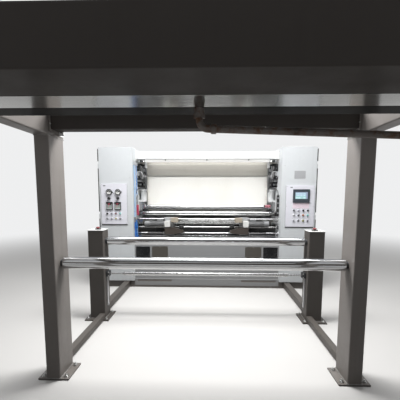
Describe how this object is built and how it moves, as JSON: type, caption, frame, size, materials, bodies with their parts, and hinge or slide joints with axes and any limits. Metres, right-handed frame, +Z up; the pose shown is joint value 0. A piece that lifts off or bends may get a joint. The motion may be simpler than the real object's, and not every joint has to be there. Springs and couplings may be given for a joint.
{
  "type": "fabric pre-shrinking machine",
  "caption": "Felt pre-shrinking machine for cloth: overhead entry gantry, feed posts with rollers, two cabinets with panels, endless felt over a heated cylinder.",
  "frame": {"origin": "on the floor under the middle of the whole line's box", "axes": "+X to the operator's right, +Y into the machine along the fabric's way, +Z up"},
  "size_m": [3.009, 4.97, 1.97],
  "materials": {
    "frame_paint": "grey machine enamel",
    "cabinet_paint": "light grey powder coat",
    "white_paint": "white enamel",
    "beige_paint": "beige grey enamel",
    "roller_chrome": "hard chrome, polished",
    "polished_steel": "mirror polished stainless steel",
    "bright_steel": "ground steel",
    "pipe_steel": "aged galvanised pipe",
    "bearing_iron": "dark painted iron",
    "motor_paint": "grey enamel",
    "felt_wool": "white needled felt",
    "lamp_diffuser": "opal diffuser",
    "black_plastic": "black",
    "grey_plastic": "grey",
    "panel_white": "white panel plate",
    "gauge_face": "chromed case",
    "screen_bezel": "dark grey bezel",
    "red_plastic": "red",
    "green_plastic": "green",
    "orange_plastic": "orange",
    "teal_plastic": "teal",
    "blue_hose": "blue tubing",
    "wheel_rubber": "black rubber"
  },
  "bodies": {
    "frame": {"gantry_left_frame": "frame_paint", "gantry_right_frame": "frame_paint", "gantry_cross_beams": "frame_paint", "gantry_plate": "polished_steel", "gantry_pipe": "pipe_steel", "feed_frame_left": "frame_paint", "feed_frame_right": "frame_paint", "idler_brackets": "bearing_iron", "base_frame": "frame_paint", "cabinet_left": "cabinet_paint", "cabinet_right": "cabinet_paint", "side_plate_left": "cabinet_paint", "side_plate_right": "cabinet_paint", "top_beam": "white_paint", "work_light": "lamp_diffuser", "steam_hood": "beige_paint", "felt_blanket": "felt_wool", "flange_bearings": "bearing_iron", "air_cylinders": "bright_steel", "steam_box": "polished_steel", "stretcher_rails": "roller_chrome", "lower_front_panel": "cabinet_paint", "air_hoses": "blue_hose", "hose_manifolds": "black_plastic", "exit_frame": "frame_paint", "drive_motor": "motor_paint", "switchgear": "grey_plastic"},
    "gantry_roller": {"gantry_roller": "roller_chrome"},
    "feed_roller": {"feed_roller": "roller_chrome"},
    "idler_roller": {"idler_roller": "bright_steel"},
    "estop_left": {"estop_left": "red_plastic"},
    "estop_right": {"estop_right": "red_plastic"},
    "door_left": {"door_left": "cabinet_paint", "control_panel_left": "panel_white", "gauges": "gauge_face", "temperature_controllers": "black_plastic"},
    "door_right": {"door_right": "cabinet_paint", "control_panel_right": "panel_white", "touch_screen": "screen_bezel"},
    "upper_front_roller": {"upper_front_roller": "bright_steel"},
    "nip_roller": {"nip_roller": "bright_steel"},
    "lower_rear_roller": {"lower_rear_roller": "bright_steel"},
    "upper_rear_roller": {"upper_rear_roller": "bright_steel"},
    "heated_cylinder": {"heated_cylinder": "roller_chrome"},
    "press_carriage": {"press_carriage": "bright_steel"},
    "press_roller": {"press_roller": "roller_chrome"},
    "guide_roller": {"guide_roller": "roller_chrome"},
    "stretcher_screw": {"stretcher_screw": "bright_steel"},
    "carriage_left": {"carriage_left": "motor_paint"},
    "carriage_right": {"carriage_right": "motor_paint"},
    "drive_wheel_left": {"drive_wheel_left": "wheel_rubber"},
    "drive_wheel_right": {"drive_wheel_right": "wheel_rubber"},
    "exit_roller": {"exit_roller": "roller_chrome"},
    "regulator_knob_left": {"regulator_knob_left": "black_plastic"},
    "regulator_knob_right": {"regulator_knob_right": "black_plastic"},
    "start_button": {"start_button": "black_plastic"},
    "selector_switch": {"selector_switch": "black_plastic"},
    "speed_button": {"speed_button": "black_plastic"},
    "stop_button": {"stop_button": "orange_plastic"},
    "run_button": {"run_button": "teal_plastic"}
  },
  "joints": [
    {"name": "gantry_roller_spin", "type": "hinge", "parent": "frame", "child": "gantry_roller", "pos_m": [0, -1.39, 0.8375], "axis": [1, 0, 0], "continuous": true},
    {"name": "feed_roller_spin", "type": "hinge", "parent": "frame", "child": "feed_roller", "pos_m": [0, -0.391, 0.8375], "axis": [1, 0, 0], "continuous": true},
    {"name": "idler_roller_spin", "type": "hinge", "parent": "frame", "child": "idler_roller", "pos_m": [0, -0.391, 0.482], "axis": [1, 0, 0], "continuous": true},
    {"name": "estop_left_press", "type": "slide", "parent": "frame", "child": "estop_left", "axis": [0, 0, -1], "range_m": [0, 0.005], "stiffness_N_per_m": 1500},
    {"name": "estop_right_press", "type": "slide", "parent": "frame", "child": "estop_right", "axis": [0, 0, -1], "range_m": [0, 0.005], "stiffness_N_per_m": 1500},
    {"name": "door_left_hinge", "type": "hinge", "parent": "frame", "child": "door_left", "pos_m": [-1.498, 0.612, 1], "axis": [0, 0, -1], "range_deg": [0, 110]},
    {"name": "door_right_hinge", "type": "hinge", "parent": "frame", "child": "door_right", "pos_m": [1.498, 0.612, 1], "axis": [0, 0, 1], "range_deg": [0, 110]},
    {"name": "heated_cylinder_spin", "type": "hinge", "parent": "frame", "child": "heated_cylinder", "pos_m": [0, 1.44752, 1.08], "axis": [1, 0, 0], "continuous": true},
    {"name": "nip_roller_spin", "type": "hinge", "parent": "frame", "child": "nip_roller", "pos_m": [0, 1.1123, 1.12], "axis": [1, 0, 0], "continuous": true},
    {"name": "upper_front_roller_spin", "type": "hinge", "parent": "frame", "child": "upper_front_roller", "pos_m": [0, 1.1123, 1.8], "axis": [1, 0, 0], "continuous": true},
    {"name": "lower_rear_roller_spin", "type": "hinge", "parent": "frame", "child": "lower_rear_roller", "pos_m": [0, 1.78274, 1.12], "axis": [1, 0, 0], "continuous": true},
    {"name": "upper_rear_roller_spin", "type": "hinge", "parent": "frame", "child": "upper_rear_roller", "pos_m": [0, 1.78274, 1.8], "axis": [1, 0, 0], "continuous": true},
    {"name": "press_lift", "type": "slide", "parent": "frame", "child": "press_carriage", "axis": [0, 0, 1], "range_m": [0, 0.04]},
    {"name": "press_roller_spin", "type": "hinge", "parent": "press_carriage", "child": "press_roller", "pos_m": [0, 0.9915, 1.14], "axis": [1, 0, 0], "continuous": true},
    {"name": "guide_roller_spin", "type": "hinge", "parent": "frame", "child": "guide_roller", "pos_m": [0, 0.93, 1.045], "axis": [1, 0, 0], "continuous": true},
    {"name": "stretcher_screw_turn", "type": "hinge", "parent": "frame", "child": "stretcher_screw", "pos_m": [0, 0.735, 0.862], "axis": [1, 0, 0], "range_deg": [-8640, 3600]},
    {"name": "carriage_right_slide", "type": "slide", "parent": "frame", "child": "carriage_right", "axis": [1, 0, 0], "range_m": [-0.24, 0.1]},
    {"name": "carriage_left_slide", "type": "slide", "parent": "frame", "child": "carriage_left", "axis": [1, 0, 0], "range_m": [-0.1, 0.24]},
    {"name": "drive_wheel_left_spin", "type": "hinge", "parent": "carriage_left", "child": "drive_wheel_left", "pos_m": [-0.358, 0.675, 0.878], "axis": [0, 0, 1], "continuous": true},
    {"name": "drive_wheel_right_spin", "type": "hinge", "parent": "carriage_right", "child": "drive_wheel_right", "pos_m": [0.358, 0.675, 0.878], "axis": [0, 0, 1], "continuous": true},
    {"name": "exit_roller_spin", "type": "hinge", "parent": "frame", "child": "exit_roller", "pos_m": [0, 2.091, 1.01], "axis": [1, 0, 0], "continuous": true},
    {"name": "regulator_knob_left_turn", "type": "hinge", "parent": "door_left", "child": "regulator_knob_left", "pos_m": [-1.349, 0.57, 1.273], "axis": [0, 1, 0], "range_deg": [-720, 720]},
    {"name": "regulator_knob_right_turn", "type": "hinge", "parent": "door_left", "child": "regulator_knob_right", "pos_m": [-1.225, 0.57, 1.273], "axis": [0, 1, 0], "range_deg": [-720, 720]},
    {"name": "start_button_press", "type": "slide", "parent": "door_left", "child": "start_button", "axis": [0, 1, 0], "range_m": [0, 0.004], "stiffness_N_per_m": 600},
    {"name": "selector_switch_turn", "type": "hinge", "parent": "door_right", "child": "selector_switch", "pos_m": [1.197, 0.58, 1.115], "axis": [0, 1, 0], "range_deg": [-45, 45]},
    {"name": "speed_button_press", "type": "slide", "parent": "door_right", "child": "speed_button", "axis": [0, 1, 0], "range_m": [0, 0.004], "stiffness_N_per_m": 600},
    {"name": "stop_button_press", "type": "slide", "parent": "door_right", "child": "stop_button", "axis": [0, 1, 0], "range_m": [0, 0.004], "stiffness_N_per_m": 600},
    {"name": "run_button_press", "type": "slide", "parent": "door_right", "child": "run_button", "axis": [0, 1, 0], "range_m": [0, 0.004], "stiffness_N_per_m": 600}
  ],
  "couplings": [
    {"joint": "nip_roller_spin", "follows": "heated_cylinder_spin", "ratio": -3.3333},
    {"joint": "upper_front_roller_spin", "follows": "heated_cylinder_spin", "ratio": -3.3333},
    {"joint": "lower_rear_roller_spin", "follows": "heated_cylinder_spin", "ratio": -3.3333},
    {"joint": "upper_rear_roller_spin", "follows": "heated_cylinder_spin", "ratio": -3.3333},
    {"joint": "stretcher_screw_turn", "follows": "carriage_right_slide", "rad_per_m": 628.32},
    {"joint": "carriage_left_slide", "follows": "carriage_right_slide", "ratio": -1}
  ]
}
